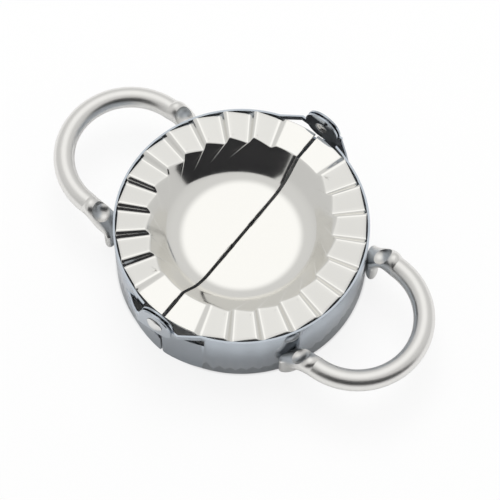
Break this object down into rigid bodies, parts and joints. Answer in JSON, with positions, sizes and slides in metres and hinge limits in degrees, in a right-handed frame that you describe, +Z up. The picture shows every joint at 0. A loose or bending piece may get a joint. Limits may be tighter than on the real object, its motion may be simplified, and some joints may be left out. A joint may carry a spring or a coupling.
{
  "type": "empanada press",
  "caption": "Hinged stainless-steel empanada press: fluted ring round a shallow dish in each half, round cutting skirt below, riveted hinge ears and a bent tube loop handle on each side.",
  "frame": {"origin": "on the table under the middle of the ring, at the bottom centre of the bounding box", "axes": "+X towards one handle, across the fold; hinge axis along Y; +Z up, out of the open dish"},
  "size_m": [0.1648, 0.1054, 0.0394],
  "materials": {
    "polished_plate": "mirror polished stamped sheet",
    "rolled_skirt": "smooth bright rolled sheet",
    "satin_tube": "satin polished tube",
    "rivet_steel": "bright turned rivet"
  },
  "bodies": {
    "left_half": {"left_press_plate": "polished_plate", "left_cutter_band": "rolled_skirt", "left_handle": "satin_tube", "rear_rivet": "rivet_steel"},
    "right_half": {"right_press_plate": "polished_plate", "right_cutter_band": "rolled_skirt", "right_handle": "satin_tube", "front_rivet": "rivet_steel"}
  },
  "joints": [
    {"name": "fold_hinge", "type": "hinge", "parent": "left_half", "child": "right_half", "pos_m": [0, 0, 0.0322], "axis": [0, -1, 0], "range_deg": [0, 180]}
  ]
}
